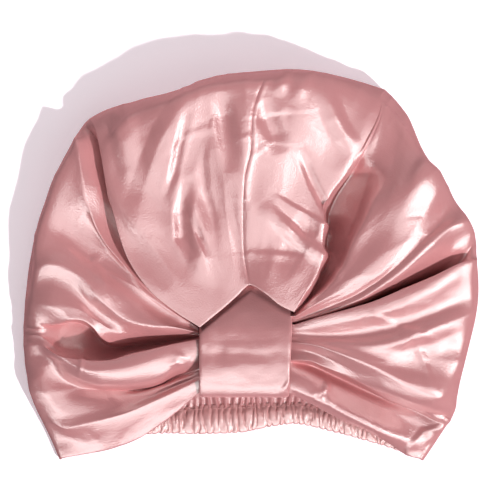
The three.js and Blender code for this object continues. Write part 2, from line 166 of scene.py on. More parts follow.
# rim is a fold's end on the outline: its bearing and reach from the knot, the height where the
# cloth starts to turn down and the height of its outermost edge. roll is how wide its rounded end
# is, crisp how sharply it is creased and path its x, y and height from the knot band outwards.
Fold = namedtuple("Fold", "name rim roll path crisp", defaults=[0])
FOLDS = [
    Fold("left hem", rim=(211.5, 144, 8, 4), roll=2, path=[
        (-33.5, -82.5, 30), (-46, -94, 25), (-59, -103.5, 21), (-75.5, -114, 17), (-91.5, -120, 13)]),
    Fold("hem strip", rim=(206, 142.5, 10, 5), roll=3, path=[
        (-33.5, -79, 32), (-47.5, -89, 28), (-62.5, -98, 24.5), (-80, -107, 20.5), (-101.5, -113.5, 16)]),
    Fold("hem crest", rim=(200.5, 143, 14, 7), roll=4, crisp=0.6, path=[
        (-33.5, -74.5, 33), (-51, -83, 31), (-65.5, -89.5, 29.5), (-83.5, -97, 27.5), (-108, -103.5, 23.5),
        (-122.5, -106.5, 18.5)]),
    Fold("hem valley", rim=(197, 144, 16, 8), roll=5, crisp=0.1, path=[
        (-33.5, -72.5, 30), (-51, -80, 26), (-65.5, -86, 25), (-85, -92.5, 24), (-108, -97, 22),
        (-124, -99, 19)]),
    Fold("low wing", rim=(192.5, 144.5, 19, 9), roll=7, path=[
        (-33.5, -70.5, 29), (-59, -79.5, 23), (-85, -86, 21), (-111, -88.5, 21), (-127.5, -88, 21)]),
    Fold("under roll", rim=(188.5, 145, 22, 10), roll=9, crisp=0.1, path=[
        (-33.5, -68, 28), (-46, -72, 20), (-65.5, -80.5, 18), (-91.5, -81.5, 18), (-116, -78.5, 20),
        (-126.5, -74.5, 22)]),
    Fold("roll low", rim=(185, 145.5, 23, 11), roll=10, path=[
        (-33.5, -63, 34), (-43, -64.5, 35.5), (-59, -72.5, 36.5), (-73.5, -76.5, 36.5), (-90, -76.5, 36),
        (-108.5, -74.5, 34.5), (-119, -71, 32), (-129, -65.5, 27)]),
    Fold("roll face", rim=(182.5, 145.5, 24, 11), roll=11, path=[
        (-33.5, -57.5, 36.5), (-56, -62, 40), (-72, -65.5, 42.5), (-91.5, -68, 43), (-108.5, -67.5, 41.5),
        (-124, -63.5, 34.5)]),
    Fold("wing roll", rim=(180, 146, 25, 11), roll=12, crisp=0.75, path=[
        (-33.5, -48, 36), (-51, -51.5, 38), (-65.5, -55, 39), (-78.5, -58, 39.5), (-91.5, -61.5, 39.5),
        (-108, -61.5, 38.5), (-124, -59, 35)]),
    Fold("roll valley", rim=(177.5, 146, 25, 11), roll=12, crisp=0.9, path=[
        (-33.5, -47, 29), (-51, -51, 25), (-65.5, -55, 23.5), (-80, -58, 23), (-91.5, -62, 23),
        (-108, -61, 23.5), (-122.5, -57.5, 24.5)]),
    Fold("pocket", rim=(175.5, 146.5, 25, 11), roll=11, crisp=0.9, path=[
        (-33.5, -46.5, 27), (-51, -49, 18), (-65.5, -51.5, 13), (-80, -53.5, 11), (-90, -54, 10),
        (-98.5, -50, 9), (-105, -42, 9), (-113, -38, 10), (-124, -38.5, 14)]),
    Fold("bulge lip", rim=(173.5, 146.5, 25, 11), roll=8, crisp=0.6, path=[
        (-33.5, -45.5, 30), (-51, -47, 23), (-65.5, -48.5, 20), (-80, -50.5, 20), (-90, -51, 24),
        (-97.5, -47, 31), (-102.5, -40.5, 36), (-109, -36, 37.5), (-118, -35.5, 36), (-127, -38.5, 29)]),
    Fold("bulge", rim=(169, 147.5, 27, 12), roll=6, path=[
        (-33.5, -45, 30), (-51, -46, 27), (-65.5, -46.5, 27), (-78.5, -46, 29), (-89, -43.5, 33),
        (-98.5, -36.5, 37), (-108, -30, 39), (-117.5, -27.5, 39), (-130.5, -27, 35.5)]),
    Fold("ridge stripe", rim=(164.5, 149, 28, 12), roll=5, path=[
        (-33.5, -44.5, 29), (-51, -44.5, 31), (-65.5, -44, 32), (-78.5, -43, 33), (-90, -39, 34.5),
        (-101, -31, 35.5), (-110.5, -21.5, 36), (-119, -15.5, 36), (-131, -12, 34)]),
    Fold("bright ridge", rim=(160.5, 151, 31, 12), roll=4, crisp=0.15, path=[
        (-34, -44, 32), (-51, -40, 36.5), (-66, -39, 38), (-79, -36, 39.5), (-90, -29, 41), (-98, -21, 42),
        (-105, -12, 42), (-114, -4, 42), (-125, 1, 40.5), (-134, 1, 37.5)]),
    Fold("ridge back", rim=(155, 154, 30, 12), roll=2.5, path=[
        (-33, -43.5, 31), (-55, -37, 34.5), (-72, -30, 36), (-86, -20.5, 37.5), (-97, -10.5, 38),
        (-108, -1, 37.5), (-119, 7, 36), (-130, 11, 34), (-137, 11, 32.5)]),
    Fold("wing dip", rim=(149, 158, 30, 12), roll=2.5, path=[
        (-33, -43, 29), (-57, -32, 30), (-74, -20, 31), (-88, -9, 31.5), (-101, 1, 31.5), (-113, 12, 31.5),
        (-123, 20, 32), (-133, 26, 32)]),
    Fold("wing top", rim=(138, 167.5, 35, 13), roll=2.5, path=[
        (-33, -42, 28.5), (-56, -29, 29.5), (-73, -15, 30.5), (-87, -1, 31), (-98, 11, 32),
        (-106, 23, 33.5), (-112, 36, 35.5), (-117, 47, 37), (-123, 55.5, 37)]),
    Fold("wing edge", rim=(129.5, 176, 36, 14), roll=2.5, crisp=0.6, path=[
        (-33, -41.5, 28), (-54, -28, 30.5), (-71, -13, 32), (-85, 3, 33.5), (-95, 15, 35),
        (-101.5, 27, 36.5), (-105.5, 40, 38), (-108, 52, 39.5), (-110.5, 65, 40), (-112, 76, 39)]),
    Fold("lip pocket", rim=(126, 179.5, 24, 15), roll=3, crisp=0.6, path=[
        (-33, -41, 25), (-47, -29, 26), (-60, -14.5, 27), (-70, 3, 28), (-77, 19, 28), (-85, 39.5, 27.5),
        (-91, 60, 27.5), (-98, 78, 28)]),
    Fold("lip", rim=(124.5, 180, 29, 18), roll=3, crisp=0.9, path=[
        (-33, -40, 43.5), (-49.5, -29.5, 44), (-65.5, -16, 44.5), (-78.5, 2, 44.5), (-84.5, 17, 44.5),
        (-90, 38, 44), (-95, 59, 43), (-97.5, 74.5, 41), (-100, 86, 37.5)]),
    Fold("behind lip", rim=(120.5, 179, 33, 18), roll=4, path=[
        (-26.5, -34, 43), (-41.5, -20.5, 44), (-56.5, -2.5, 44.5), (-67, 18, 45), (-74, 39.5, 45.5),
        (-81, 62, 45.5), (-88, 83, 43.5)]),
    Fold("crown plane", rim=(113, 174.5, 40, 19), roll=4, path=[
        (-18, -27, 42.5), (-33, -9, 43), (-48, 14, 44.5), (-57, 36, 46.5), (-64, 59, 48.5), (-69, 82, 49.5),
        (-72, 97, 48)]),
    Fold("crown step", rim=(104.5, 172.5, 44, 20), roll=4, path=[
        (-9, -19, 42), (-22, -3, 43), (-35, 20, 45), (-44, 43, 48), (-50, 69, 50.5), (-52, 92, 52.5),
        (-50, 106, 51.5)]),
    Fold("crown band", rim=(96, 176.5, 45, 20), roll=4, path=[
        (-4, -14, 42), (-12, 2, 43), (-18, 27, 45), (-22, 53, 48), (-25, 79, 51), (-25, 101, 53.5),
        (-24, 115, 52.5)]),
    Fold("seam", rim=(86, 180, 45, 21), roll=4, path=[
        (-1, -12, 43), (-4, 4, 42.5), (-5, 30, 45), (-4, 56, 48), (0, 75, 50.5), (1, 95, 52.5),
        (4, 109, 53.5), (8, 119, 52.5)]),
    Fold("right plane", rim=(79, 183.5, 44, 20), roll=4, path=[
        (9, -17, 46), (14, -3, 44.5), (19, 10, 41.5), (21, 27, 43.5), (22, 49, 46.5), (24, 79, 49),
        (27, 101, 50.5), (30, 118, 50)]),
    Fold("right band", rim=(70.5, 186.5, 38, 17), roll=4, path=[
        (19, -25, 46), (28, -6, 44), (34, 7, 41), (38, 27, 40.5), (40, 46, 41), (49, 75, 43),
        (56, 96, 43.5), (58, 113, 42)]),
    Fold("flap edge", rim=(61.5, 190.5, 30, 16), roll=6, crisp=0.9, path=[
        (28, -30, 44.5), (35, -18, 44), (43, -6, 42), (46, 10, 41), (47, 26, 41), (50, 43, 40),
        (62, 60, 40), (73, 78, 39.5), (81, 93, 37), (85, 105, 33.5)]),
    Fold("valley floor", rim=(59.5, 189, 29, 15), roll=6, crisp=0.3, path=[
        (28, -31, 32), (37, -21, 27), (44, -11, 22), (49, 2, 18), (50, 17, 16), (51, 31, 15), (55, 43, 16),
        (65, 59, 23), (75, 76, 38.5), (83, 93, 37), (87, 105, 33)]),
    Fold("deep valley", rim=(57.5, 187, 28, 15), roll=6, crisp=0.2, path=[
        (28, -31, 31), (38, -22, 28), (47, -13, 26), (56, -2, 26), (62, 14, 26), (67, 28, 26),
        (72, 41, 26.5), (77, 56, 29.5), (80, 70, 37), (85, 91, 37), (89, 104, 33)]),
    Fold("roll brow", rim=(54.5, 183.5, 30, 15), roll=6, crisp=0.2, path=[
        (29, -32, 34), (39, -23, 39), (49, -15, 42.5), (58, -4, 45.5), (65, 13, 48), (72, 26, 49),
        (78, 38, 48.5), (87, 53, 45.5), (92, 69, 41.5), (95, 84, 38), (95, 96, 35)]),
    Fold("roll top", rim=(48.5, 173.5, 41, 15), roll=3, path=[
        (29, -32, 35.5), (42, -23, 41.5), (54, -14, 45.5), (65, -2, 49), (74, 11, 51), (81, 24, 52.5),
        (88, 38, 53), (96, 53, 51.5), (104, 67, 47.5)]),
    Fold("big roll", rim=(45.5, 170.5, 48, 18), roll=2.5, crisp=0.1, path=[
        (29, -33, 37), (44, -24, 43), (60, -15, 48), (75, -2, 51), (86, 12, 53), (94, 28, 54.5),
        (102, 46, 54.5), (109, 61, 53)]),
    Fold("roll side", rim=(40, 168.5, 45, 17), roll=2.5, path=[
        (30, -34, 35), (48, -25, 42), (66, -17, 46.5), (81, -6, 49.5), (95, 9, 51.5), (105, 25, 52),
        (115, 41, 51), (120, 50, 49.5)]),
    Fold("roll dip", rim=(34.5, 166.5, 36, 16), roll=2.5, crisp=0.1, path=[
        (30, -35, 33.5), (51.5, -27, 40), (69.5, -18.5, 44), (87, -6.5, 47.5), (103, 7.5, 49),
        (118, 23, 46)]),
    Fold("roll ridge", rim=(29.5, 167.5, 42, 17), roll=2.5, crisp=0.2, path=[
        (30, -36, 34), (54.5, -28.5, 41.5), (72.5, -21, 45.5), (87, -11.5, 49), (98.5, -2.5, 50.5),
        (113, 11.5, 51), (128, 24.5, 48)]),
    Fold("pink face", rim=(26.5, 167, 36, 15), roll=2.5, path=[
        (29.5, -37, 33), (54.5, -30.5, 36.5), (74, -24, 37.5), (93.5, -13.5, 38), (110, -2.5, 38.5),
        (128, 10, 37)]),
    Fold("wing valley", rim=(24, 165, 32, 15), roll=3, crisp=0.5, path=[
        (29, -38, 27), (51.5, -33, 22), (67.5, -28.5, 21), (84, -23, 21.5), (103.5, -14.5, 23),
        (123, -6, 27), (136, 1.5, 32)]),
    Fold("wing crest", rim=(20.5, 161.5, 40, 16), roll=3, crisp=0.75, path=[
        (28.5, -38.5, 35), (46.5, -33, 43), (61, -29, 47), (77.5, -24, 49), (93.5, -17.5, 49.5),
        (116.5, -8, 48), (136, 1.5, 44)]),
    Fold("crest face", rim=(16, 158.5, 40, 16), roll=3, path=[
        (28, -41.5, 34.5), (51.5, -38.5, 43), (71, -33.5, 48.5), (90.5, -27, 50), (116.5, -16.5, 48.5),
        (136, -8, 45)]),
    Fold("white band", rim=(11.5, 155.5, 35, 15), roll=3, path=[
        (28, -44.5, 33), (51.5, -46, 38.5), (71, -44.5, 41), (90.5, -40.5, 42.5), (116.5, -31.5, 41),
        (136, -24, 38)]),
    Fold("pink plane", rim=(7, 152, 35, 14), roll=3, path=[
        (27.5, -47, 33.5), (51.5, -49, 40.5), (71, -51, 44.5), (90.5, -50, 47), (110, -44, 46),
        (131, -37, 42)]),
    Fold("dull slope", rim=(-1, 146, 33, 13), roll=3, path=[
        (27.5, -48.5, 33.5), (45, -50.5, 41), (64.5, -54.5, 44.5), (87, -58, 44), (105, -57, 40.5),
        (126, -54.5, 37.5)]),
    Fold("long ridge", rim=(-12.5, 142.5, 30, 12), roll=4, crisp=0.3, path=[
        (27, -50, 34), (41, -51.5, 41.5), (54, -55.5, 46), (68.5, -61, 47.5), (81.5, -66.5, 46.5),
        (95.5, -74, 44.5), (108, -80.5, 42), (123, -86, 38)]),
    Fold("under ridge", rim=(-16.5, 143.5, 25, 11), roll=4, path=[
        (27, -54.5, 31), (41.5, -57.5, 35.5), (58, -64, 39), (77.5, -73, 40), (97, -82.5, 38),
        (116.5, -90, 33)]),
    Fold("low lip", rim=(-19.5, 143.5, 18, 9), roll=5, crisp=0.7, path=[
        (26.5, -61.5, 34), (38.5, -62, 37), (47, -65.5, 37), (64, -72.5, 36), (84, -82.5, 33),
        (101.5, -90.5, 28), (115, -95.5, 23)]),
    Fold("low valley", rim=(-22, 142, 15, 8), roll=4, crisp=0.3, path=[
        (26, -63, 25), (40, -66, 12), (54.5, -72.5, 8.5), (72.5, -81, 8.5), (92, -89.5, 9.5),
        (108.5, -96, 11.5)]),
    Fold("low crest", rim=(-25, 141, 12, 6), roll=4, crisp=0.1, path=[
        (26, -66.5, 27), (40, -71, 25), (54.5, -79, 21.5), (72.5, -88, 17.5), (92, -96.5, 13.5),
        (110, -103.5, 11)]),
    Fold("hem roll", rim=(-29, 140, 10, 5), roll=3, path=[
        (25.5, -78, 30.5), (40, -85, 29.5), (56, -94, 27), (74, -103, 23), (93.5, -112.5, 18)]),
    Fold("right hem", rim=(-33, 139.5, 8, 4), roll=2, path=[
        (25, -83, 28), (38.5, -89.5, 22), (61, -102.5, 15), (77.5, -109.5, 11), (90.5, -118, 9),
        (100, -124, 8)]),
]
FOLD_NAMES = [fold.name for fold in FOLDS]
SEAM_FOLD = FOLD_NAMES.index("seam")
CROWN_FOLDS = (FOLD_NAMES.index("lip"), FOLD_NAMES.index("flap edge"))

# Sharp creases of the handled cloth: a path of x, y and lift, and how far the lift reaches to
# the path's left and right. A soft one has a rounded crest.
Crease = namedtuple("Crease", "name path left right soft", defaults=[False])
CREASES = [
    Crease("plane edge", [(-76, 46, 0), (-79, 60, 2), (-82.5, 81, 2.6), (-83.5, 98, 1.6)], 9, 12, True),
    Crease("plane step", [
        (-73, 20, 0.3), (-72, 39, 1.6), (-64, 65, 3), (-56, 84, 3.2), (-43, 105, 2), (-30, 114, 1)], 9, 22),
    Crease("tongue", [(-37, 4, 0), (-44, 18, -3.8), (-45, 34, -3.4), (-40, 52, -1)], 7, 8, True),
    Crease("band stripe", [
        (-56, 42, 0), (-50, 59, -2), (-46.5, 75, -2.2), (-43, 90, -1.4), (-40, 102, 0)], 4, 4),
    Crease("second band", [
        (-36, -12, 0), (-32, 6, 2), (-31, 22, 2.3), (-37, 40, 2.5), (-36, 60, 1.9), (-28, 85, 1)], 8, 18),
    Crease("red streak", [(-27, 5, 0), (-33, 18, -2.2), (-38, 31, 0)], 2.5, 3),
    Crease("pale strip", [
        (-17, 8, 0), (-20.5, 29, 1.6), (-25.5, 49, 1.8), (-27, 68, 1.4), (-24, 90, 0)], 4, 16),
    Crease("seam hollow", [(-13, 60, 0), (-15, 76, -2.6), (-18, 96, -3), (-20, 112, 0)], 8, 11, True),
    Crease("chip line", [(-93.5, 80, 0.3), (-86.5, 86, 1), (-77, 95, 0.9), (-67.5, 104, 0.2)], 3, 4),
    Crease("chip edge", [(-91.5, 101, 0.2), (-86.5, 96.5, 0.8), (-80.5, 92.5, 0)], 3, 3),
    Crease("left line", [(-51, 79.5, 0), (-36.5, 86, 0.7), (-20, 90, 0)], 3, 4),
    Crease("seam nick", [(-10.5, 81.5, 0), (-1, 83.5, 0.7)], 3, 3),
    Crease("top line", [(1.5, 96, 0.4), (19, 99, 0.7), (40, 100.5, 0.2)], 9, 1.6),
    Crease("top dent", [(23, 97, -1), (27.5, 83.5, 0)], 5, 4),
    Crease("top hollow", [(6, 106, 0), (11, 95, -3), (16, 84, -2.6), (20, 72, 0)], 10, 10, True),
    Crease("middle line", [(10.5, 80, 0.3), (32, 78.5, 0.6)], 7, 1.6),
    Crease("low line", [(1, 70, 0.4), (12.5, 79, 0.3)], 3, 2),
    Crease("top patch", [(16.5, 109, 0), (19.5, 117, 1.6), (23, 125, 1.4)], 6, 6, True),
    Crease("next patch", [(27, 104, 0), (32, 114, 1.2), (38, 123, 1)], 6, 7, True),
    Crease("right strip", [(67.5, 75, 0), (61, 84, 2.6), (54.5, 96, 3.4), (48, 115, 1)], 10, 8, True),
    Crease("pleat", [(49, 34, -1), (47, 40, -3.2), (41, 52, -3), (36, 65, -1.8), (32, 75, 0)], 4, 4),
    Crease("thin fold", [(51.5, 19, 0.5), (47, 27.5, 2.4), (30.5, 36.5, 2.2), (14, 46.5, 0)], 7, 1.6),
    Crease("slant fold", [
        (55.5, -3.5, 1), (48, 5.5, 3.4), (32, 16.5, 4.2), (20.5, 28, 3.2), (8.5, 41, 0)], 9, 6, True),
    Crease("flap rim", [(41, -6, 0.2), (37, -18, 0.9), (29, -29, 0.6)], 2, 2.5),
    Crease("flap line", [(-0.5, 8, 0.4), (23.5, 6.5, 1), (38.5, 4, 0)], 2.5, 5),
    Crease("wing stroke", [(-90, -22.5, 0), (-95, -12.5, 0.9), (-99.5, -3, 0.7), (-103, 5, 0)], 5, 4),
    Crease("wing nick", [(-107, 1, 0), (-102, 3.5, 0.8), (-96, 6, 0)], 3, 3),
    Crease("roll nick", [(-109.5, -61.5, 1), (-112.5, -73, 0.3)], 2.5, 2.5),
    Crease("crumple", [(-51, -56.5, 0), (-46, -59, 1.3), (-39.5, -61.5, 0)], 2.5, 3),
    Crease("low crumple", [(-54, -65.5, 0), (-48.5, -63, 1.2), (-42, -65.5, 0)], 3, 2.5),
    Crease("face line", [
        (73.5, -29, 0), (82, -33.5, 0.9), (97, -39.5, 1), (109.5, -43.5, 1), (123, -50, 0)], 3, 6),
    Crease("pale crease", [(119, -81.5, 0), (114.5, -68, 0.9), (107.5, -50, 0.2)], 3, 3.5),
    Crease("star down", [(43.5, -92.5, 0), (46.5, -87.5, 0.8), (49, -79.5, 1)], 4, 3),
    Crease("star right", [(54, -94.5, 0), (52, -89, 0.8), (49, -79.5, 1)], 3, 4),
    Crease("star left", [(32, -85, 0), (40, -85, 0.5), (49, -81, 0.8)], 4, 2),
    Crease("corner", [(103.5, -121.5, 1), (113, -109.5, 1.6), (128, -105, 1.6), (135.5, -92, 0.4)], 3, 9),
]
CREASE_ROUNDING = dict(top=1.03, crest=0.012, foot=0.006)
CREASE_EASE = 8  # rows over which creases start and end
SMALL_CREASES = dict(seed=11, count=60, length=(10, 30), lift=(0.2, 0.6), reach=(2, 5), stray=0.8)
FAN_RADIUS = 115.0
WAVES = dict(seed=5, count=10, across=(30, 80), along=(70, 200), height=0.3, start=35, fade=60)
CRUMPLES = dict(seed=8, layers=[(38, 80, 2.1), (19, 44, 0.6), (8, 18, 0.16)], level=0.6, start=40, fade=50)
CALM = dict(crisp=0.3, columns=6)  # slack cloth lies smooth this near to a fold this crisp
SEAM = dict(groove=0.6, half_width=1.1, strip=0.4, strip_width=4.0, lap=0.05)
SEAM_PUCKERS = dict(seed=3, first=6, pitch=13.0, stray=3, slant=2, length=(4, 14), reach=1.6, lift=0.1)
SEAM_STEPS = dict(path=12, take=3, strip=30)
RIM_WRINKLES = dict(seed=21, radius=150.0, width=9.0, length=30.0, height=0.5, level=0.5, share=0.3)
PUCKERS = dict(pitch=4.6, height=2.6, reach=9.0, wander=1.6, wander_length=7, slant=4, slant_length=5)

# Back edge of the mouth, where the panels are sewn to the casing: x, stitched y, frilled y.
CASING_EDGE = np.array([
    [-112, -112.5, -122.5], [-92, -104.5, -117.5], [-65, -96, -111], [-33, -92.5, -111],
    [-3, -91.5, -109.5], [16, -91, -105.5], [32, -91, -104.5], [52, -95, -109],
    [78, -103.5, -116], [102, -114, -123.5],
])
STITCHED, FRILLED = 1, 2
BACK_EDGE = (-120.0, 108.0)
SEWN_UNDER = 3.0  # how far the back edge runs in under the casing
CROWN_STEPS = dict(column=1.5, fewest=5, path=24, under=8, front=160, rim=8, back=22)


def smooth_run(points, counts, crisp=None):
    """Points along a smooth curve through each of several point rows, sharper where crisp."""
    points = np.asarray(points, float)
    easing = 1.0 - (np.zeros(len(points)) if crisp is None else np.asarray(crisp))
    before = 2 * points[0] - points[1]
    after = 2 * points[-1] - points[-2]
    padded = np.concatenate([before[None], points, after[None]])
    gaps = np.sqrt(np.maximum(np.linalg.norm(np.diff(padded, axis=0), axis=-1, keepdims=True), 1e-6))
    run = []
    for i, count in enumerate(counts):
        p0, p1, p2, p3 = padded[i:i + 4]
        d0, d1, d2 = gaps[i:i + 3]
        m1 = ((p1 - p0) / d0 - (p2 - p0) / (d0 + d1) + (p2 - p1) / d1) * d1 * easing[i]
        m2 = ((p2 - p1) / d1 - (p3 - p1) / (d1 + d2) + (p3 - p2) / d2) * d1 * easing[i + 1]
        for s in np.linspace(0, 1, count, endpoint=False):
            run.append((2 * s**3 - 3 * s**2 + 1) * p1 + (s**3 - 2 * s**2 + s) * m1
                       + (3 * s**2 - 2 * s**3) * p2 + (s**3 - s**2) * m2)
    run.append(points[-1])
    return np.array(run)


def running_length(points):
    """How far along a row of points each one lies."""
    return np.concatenate([[0], np.cumsum(np.linalg.norm(np.diff(points, axis=0), axis=-1))])


def casing_y(x, edge):
    fine = smooth_run(CASING_EDGE, [8] * (len(CASING_EDGE) - 1))
    return np.interp(x, fine[:, 0], fine[:, edge])


def back_edge_point(bearing):
    first, last = FOLDS[0].rim[0], FOLDS[-1].rim[0]
    share = (first - bearing) / (first - last)
    x = BACK_EDGE[0] + share * (BACK_EDGE[1] - BACK_EDGE[0])
    on_hem = share in (0.0, 1.0)
    return np.array([x, casing_y(x, FRILLED) if on_hem else casing_y(x, STITCHED) - SEWN_UNDER, 0.0])


def turned_hem(start, heading, up, scale=1.0):
    """Rows of a hem turned under in a tight roll, from its hidden end to the cloth's edge."""
    radius, depth, half = scale * HEM_TURN["radius"], scale * HEM_TURN["depth"], HEM_TURN["steps"] // 2
    turn = np.linspace(0, math.pi, half, endpoint=False)
    away = np.concatenate([np.linspace(depth, 0, half, endpoint=False), -radius * np.sin(turn)])
    sink = np.concatenate([np.full(half, 2 * radius), radius * (1 + np.cos(turn))])
    shape = (-1,) + (1,) * np.ndim(start)
    return start + away.reshape(shape) * heading - sink.reshape(shape) * up


def evenly(run, count):
    """The same curve as count equal steps."""
    length = running_length(run)
    wanted = np.linspace(0, length[-1], count + 1)
    return np.stack([np.interp(wanted, length, run[:, axis]) for axis in range(3)], axis=-1)


def fold_line(index, fold):
    """One fold from under the knot band, over the front, round the rim and along the back."""
    steps, turn = CROWN_STEPS, RIM_TURN
    bearing, reach, shoulder, edge = fold.rim
    outward = np.array([math.cos(math.radians(bearing)), math.sin(math.radians(bearing))])

    def on_rim(inset, height):
        return np.append(KNOT + outward * (reach - inset), height)

    foot = UNDERCUT * edge
    knots = [*fold.path, on_rim(fold.roll, shoulder),
             on_rim(turn["above"] * fold.roll, 0.5 * (edge + shoulder)), on_rim(0, edge),
             on_rim(turn["below"] * foot, turn["below_height"] * edge), on_rim(foot, 0)]
    run = smooth_run(knots, [steps["path"]] * (len(knots) - 1))
    outermost = steps["path"] * (len(knots) - 3)
    front = evenly(run[:outermost + 1], steps["front"])
    lower = evenly(run[outermost:], steps["rim"])[1:]
    if CROWN_FOLDS[0] <= index <= CROWN_FOLDS[1]:
        heading = front[1] - front[0]
        scale = HEM_TURN["corner"] if index in CROWN_FOLDS else 1.0
        under = turned_hem(front[0], heading / np.linalg.norm(heading), np.array([0, 0, 1.0]), scale)
    else:
        core = np.array([KNOT[0], front[0, 1], front[0, 2] - GATHER_SINK])
        under = core + (front[0] - core) * np.linspace(0, 1, steps["under"], endpoint=False)[:, None]
    shares = 1 - np.linspace(1, 0, steps["back"] + 1)[1:, None]**2
    back = lower[-1] * (1 - shares) + back_edge_point(bearing) * shares
    return np.concatenate([under, front, lower, back])


def crease_lift(points, creases):
    """Lift of sharp creases at plan points: each is a tent that falls off on both sides."""
    lift = np.zeros(len(points))
    for crease in creases:
        path = np.asarray(crease.path, float)
        nearest = np.full(len(points), 1e9)
        height = np.zeros(len(points))
        for a, b in zip(path[:-1], path[1:]):
            run = b[:2] - a[:2]
            share = np.clip((points - a[:2]) @ run / (run @ run), 0, 1)
            off = points - a[:2] - share[:, None] * run
            away = np.hypot(off[:, 0], off[:, 1])
            leftward = run[0] * off[:, 1] - run[1] * off[:, 0] > 0
            fall = away / np.where(leftward, crease.left, crease.right)
            slope = CREASE_ROUNDING["top"] - np.sqrt(fall**2 + CREASE_ROUNDING["crest"])
            if crease.soft:
                tent = np.sin(0.5 * math.pi * np.clip(slope, 0, 1))**2
            else:
                tent = 0.5 * (slope + np.sqrt(slope**2 + CREASE_ROUNDING["foot"]))
            closer = away < nearest
            height[closer] = ((a[2] + share * (b[2] - a[2])) * tent)[closer]
            nearest = np.minimum(nearest, away)
        lift += height
    return lift


def small_creases(plan):
    """Seeded short creases that mostly run along the folds, away from the knot."""
    facts = SMALL_CREASES
    pick = np.random.default_rng(facts["seed"])
    creases = []
    for _ in range(facts["count"]):
        middle = plan[pick.integers(len(plan))]
        bearing = math.atan2(middle[1] - KNOT[1], middle[0] - KNOT[0]) + pick.normal(0, facts["stray"])
        half = pick.uniform(*facts["length"]) / 2 * np.array([math.cos(bearing), math.sin(bearing)])
        lift = pick.uniform(*facts["lift"]) * pick.choice([-1, 1])
        path = [(*(middle - half), 0), (*middle, lift), (*(middle + half), 0)]
        creases.append(Crease("small", path, pick.uniform(*facts["reach"]), pick.uniform(*facts["reach"])))
    return creases


def seam_creases():
    """The seam's groove, the strip of seam allowance beside it and the puckers across it."""
    steps, puckers = SEAM_STEPS, SEAM_PUCKERS
    path = FOLDS[SEAM_FOLD].path
    line = smooth_run(path, [steps["path"]] * (len(path) - 1))
    half_strip = SEAM["strip_width"] / 2
    groove = [(x, y, -SEAM["groove"]) for x, y, _ in line[::steps["take"]]]
    strip = [(x + half_strip, y, SEAM["strip"]) for x, y, _ in line[steps["strip"]::steps["take"]]]
    creases = [Crease("seam groove", groove, SEAM["half_width"], SEAM["half_width"]),
               Crease("seam strip", strip, half_strip, half_strip, True)]
    pick = np.random.default_rng(puckers["seed"])
    for y in np.arange(line[0, 1] + puckers["first"], line[-1, 1], puckers["pitch"]):
        middle = y + pick.uniform(-puckers["stray"], puckers["stray"])
        x = np.interp(middle, line[:, 1], line[:, 0])
        for side in (-1, 1):
            length = pick.uniform(*puckers["length"])
            far_end = (x + side * length, middle + pick.normal(0, puckers["slant"]), 0)
            pucker = [(x + side, middle, puckers["lift"]), far_end]
            creases.append(Crease("seam pucker", pucker[::side], puckers["reach"], puckers["reach"]))
    return creases


def fan(plan, radius):
    """Plan points as arcs across the folds, measured at a radius, and lengths along the folds."""
    away = plan - KNOT
    return np.arctan2(away[:, 1], away[:, 0]) * radius, np.hypot(away[:, 0], away[:, 1])


def slack_waves(plan):
    """Seeded soft waves of the slack cloth, long along the folds and short across them."""
    facts = WAVES
    pick = np.random.default_rng(facts["seed"])
    across, along = fan(plan, FAN_RADIUS)
    lift = np.zeros(len(plan))
    for _ in range(facts["count"]):
        width = pick.uniform(*facts["across"])
        length = pick.uniform(*facts["along"]) * pick.choice([-1, 1])
        lift += facts["height"] * np.sin(2 * math.pi * (across / width + along / length + pick.uniform()))
    return lift * np.clip((along - facts["start"]) / facts["fade"], 0, 1)


FOLD_LINES = np.array([fold_line(i, fold) for i, fold in enumerate(FOLDS)])
WIDEST = np.linalg.norm(np.diff(FOLD_LINES, axis=0), axis=-1).max(axis=1)
COLUMNS = np.maximum(np.ceil(WIDEST / CROWN_STEPS["column"]).astype(int), CROWN_STEPS["fewest"])
SMOOTH_CROWN = smooth_run(FOLD_LINES, COLUMNS, [fold.crisp for fold in FOLDS])
COLUMN_STARTS = np.concatenate([[0], np.cumsum(COLUMNS)])


def grid_normals(grid):
    normals = np.cross(np.gradient(grid, axis=0), np.gradient(grid, axis=1))
    return normals / np.maximum(np.linalg.norm(normals, axis=-1, keepdims=True), 1e-9)


def lattice_noise(pick, u, v):
    """Smooth seeded noise between -1 and 1 with one bump in each unit square."""
    u, v = u - u.min(), v - v.min()
    table = pick.uniform(-1, 1, (int(u.max()) + 2, int(v.max()) + 2))
    i, j = u.astype(int), v.astype(int)
    s, t = u - i, v - j
    s, t = s * s * (3 - 2 * s), t * t * (3 - 2 * t)
    near = table[i, j] * (1 - s) + table[i + 1, j] * s
    far = table[i, j + 1] * (1 - s) + table[i + 1, j + 1] * s
    return near * (1 - t) + far * t


def crumples(plan):
    """Sharp-edged crumples of handled satin, drawn out along the folds."""
    facts = CRUMPLES
    pick = np.random.default_rng(facts["seed"])
    across, along = fan(plan, FAN_RADIUS)
    lift = np.zeros(len(plan))
    for width, length, height in facts["layers"]:
        lift += height * (facts["level"] - 2 * np.abs(lattice_noise(pick, across / width, along / length)))
    return lift * np.clip((along - facts["start"]) / facts["fade"], 0, 1)


def rim_wrinkles(plan):
    """Short wrinkles where the slack cloth turns over the rim."""
    facts = RIM_WRINKLES
    pick = np.random.default_rng(facts["seed"])
    across, along = fan(plan, facts["radius"])
    noise = lattice_noise(pick, across / facts["width"], along / facts["length"])
    return facts["height"] * (facts["level"] - 2 * np.abs(noise))


